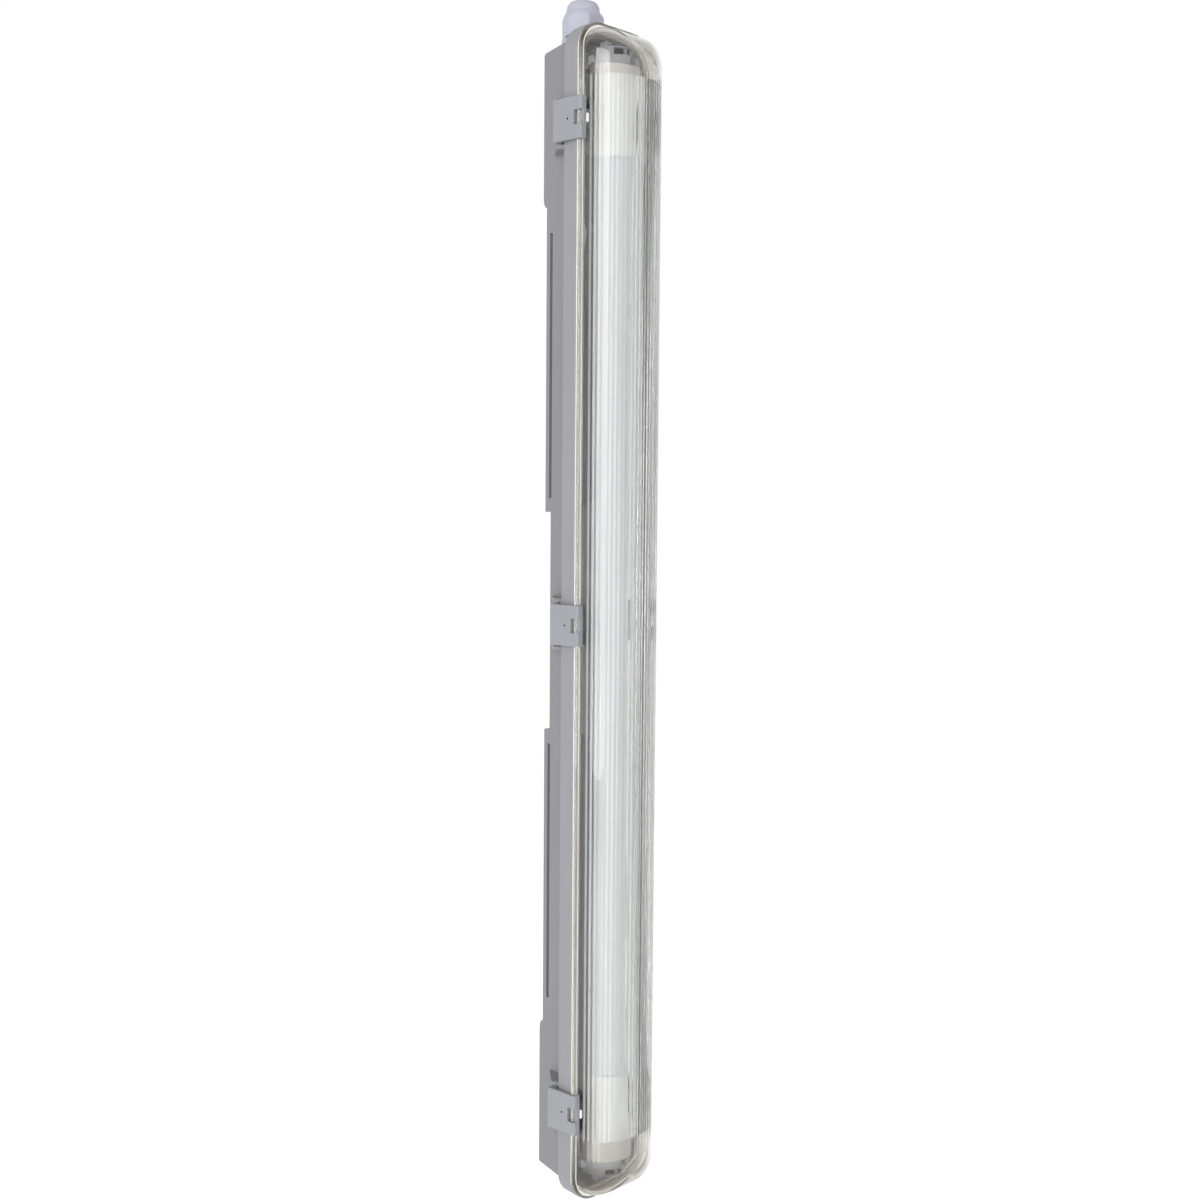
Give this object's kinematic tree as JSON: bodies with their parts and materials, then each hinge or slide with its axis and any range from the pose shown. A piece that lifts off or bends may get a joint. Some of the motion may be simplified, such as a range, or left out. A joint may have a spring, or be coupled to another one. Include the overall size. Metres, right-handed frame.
{
  "type": "vapor tight light fixture",
  "caption": "Slim sealed batten light: grey housing, clear ribbed diffuser on a gasket, hinged side clips, a cable gland on one end and a white-capped LED tube turned into two lampholders.",
  "frame": {"origin": "on the plane of the two back pads, which lie against the wall or ceiling, at the middle of the fixture's length and width", "axes": "+Z along the fixture to the end with the cable gland, +Y into the wall or ceiling, so the light shines along -Y; +X across"},
  "size_m": [0.0618, 0.0602, 0.6515],
  "materials": {
    "grey_polycarbonate": "fine moulded texture",
    "clip_grey_plastic": "fine moulded texture",
    "clear_polycarbonate": "clear, with ribs inside",
    "cream_gasket_foam": "matt foam",
    "gland_polyamide": "satin",
    "black_rubber": "matt",
    "opal_tube_plastic": "satin, opal",
    "white_cap_plastic": "satin",
    "graphite_plastic": "satin",
    "nickel_plated_pin": "bright plated",
    "phosphor_bronze": "bright",
    "circuit_board": "white solder mask",
    "wire_insulation": "satin"
  },
  "bodies": {
    "base": {"housing": "grey_polycarbonate", "gasket": "cream_gasket_foam", "lampholder_top": "gland_polyamide", "lampholder_bottom": "gland_polyamide", "terminal_block": "white_cap_plastic", "terminal_screw_left": "nickel_plated_pin", "terminal_screw_right": "nickel_plated_pin", "live_wire": "wire_insulation", "neutral_wire": "wire_insulation", "gland_body": "gland_polyamide", "gland_washer": "black_rubber", "gland_seal": "black_rubber", "gland_locknut": "gland_polyamide", "holder_contact_left_top": "phosphor_bronze", "holder_contact_left_bottom": "phosphor_bronze", "holder_contact_right_top": "phosphor_bronze", "holder_contact_right_bottom": "phosphor_bronze"},
    "cover": {"diffuser": "clear_polycarbonate"},
    "lamp": {"lamp_tube": "opal_tube_plastic", "tube_cap_top": "white_cap_plastic", "tube_cap_bottom": "white_cap_plastic", "led_board": "circuit_board", "driver_board": "circuit_board", "contact_pin_left_top": "nickel_plated_pin", "contact_pin_left_bottom": "nickel_plated_pin", "contact_pin_right_top": "nickel_plated_pin", "contact_pin_right_bottom": "nickel_plated_pin"},
    "rotor_top": {"rotor_top": "graphite_plastic"},
    "rotor_bottom": {"rotor_bottom": "graphite_plastic"},
    "gland_nut": {"gland_nut": "gland_polyamide"},
    "clip_left_top": {"clip_left_top": "clip_grey_plastic"},
    "clip_left_middle": {"clip_left_middle": "clip_grey_plastic"},
    "clip_left_bottom": {"clip_left_bottom": "clip_grey_plastic"},
    "clip_right_top": {"clip_right_top": "clip_grey_plastic"},
    "clip_right_middle": {"clip_right_middle": "clip_grey_plastic"},
    "clip_right_bottom": {"clip_right_bottom": "clip_grey_plastic"}
  },
  "joints": [
    {"name": "cover_lift", "type": "slide", "parent": "base", "child": "cover", "axis": [0, -1, 0], "range_m": [0, 0.02]},
    {"name": "clip_left_top_hinge", "type": "hinge", "parent": "base", "child": "clip_left_top", "pos_m": [-0.0263, -0.0234, 0.265], "axis": [0, 0, -1], "range_deg": [0, 105]},
    {"name": "clip_left_middle_hinge", "type": "hinge", "parent": "base", "child": "clip_left_middle", "pos_m": [-0.0263, -0.0234, 0], "axis": [0, 0, -1], "range_deg": [0, 105]},
    {"name": "clip_left_bottom_hinge", "type": "hinge", "parent": "base", "child": "clip_left_bottom", "pos_m": [-0.0263, -0.0234, -0.265], "axis": [0, 0, -1], "range_deg": [0, 105]},
    {"name": "clip_right_top_hinge", "type": "hinge", "parent": "base", "child": "clip_right_top", "pos_m": [0.0263, -0.0234, 0.265], "axis": [0, 0, 1], "range_deg": [0, 105]},
    {"name": "clip_right_middle_hinge", "type": "hinge", "parent": "base", "child": "clip_right_middle", "pos_m": [0.0263, -0.0234, 0], "axis": [0, 0, 1], "range_deg": [0, 105]},
    {"name": "clip_right_bottom_hinge", "type": "hinge", "parent": "base", "child": "clip_right_bottom", "pos_m": [0.0263, -0.0234, -0.265], "axis": [0, 0, 1], "range_deg": [0, 105]},
    {"name": "lamp_twist", "type": "hinge", "parent": "base", "child": "lamp", "pos_m": [0, -0.038, 0], "axis": [0, 0, 1], "range_deg": [0, 90]},
    {"name": "rotor_top_turn", "type": "hinge", "parent": "base", "child": "rotor_top", "pos_m": [0, -0.038, 0.2993], "axis": [0, 0, 1], "range_deg": [0, 90]},
    {"name": "rotor_bottom_turn", "type": "hinge", "parent": "base", "child": "rotor_bottom", "pos_m": [0, -0.038, -0.2993], "axis": [0, 0, 1], "range_deg": [0, 90]},
    {"name": "gland_nut_turn", "type": "hinge", "parent": "base", "child": "gland_nut", "pos_m": [0, -0.014, 0.325], "axis": [0, 0, 1], "continuous": true}
  ],
  "couplings": [
    {"joint": "clip_left_top_hinge", "follows": "cover_lift", "rad_per_m": 91.6},
    {"joint": "clip_left_middle_hinge", "follows": "cover_lift", "rad_per_m": 91.6},
    {"joint": "clip_left_bottom_hinge", "follows": "cover_lift", "rad_per_m": 91.6},
    {"joint": "clip_right_top_hinge", "follows": "cover_lift", "rad_per_m": 91.6},
    {"joint": "clip_right_middle_hinge", "follows": "cover_lift", "rad_per_m": 91.6},
    {"joint": "clip_right_bottom_hinge", "follows": "cover_lift", "rad_per_m": 91.6},
    {"joint": "rotor_top_turn", "follows": "lamp_twist", "ratio": 1},
    {"joint": "rotor_bottom_turn", "follows": "lamp_twist", "ratio": 1}
  ]
}
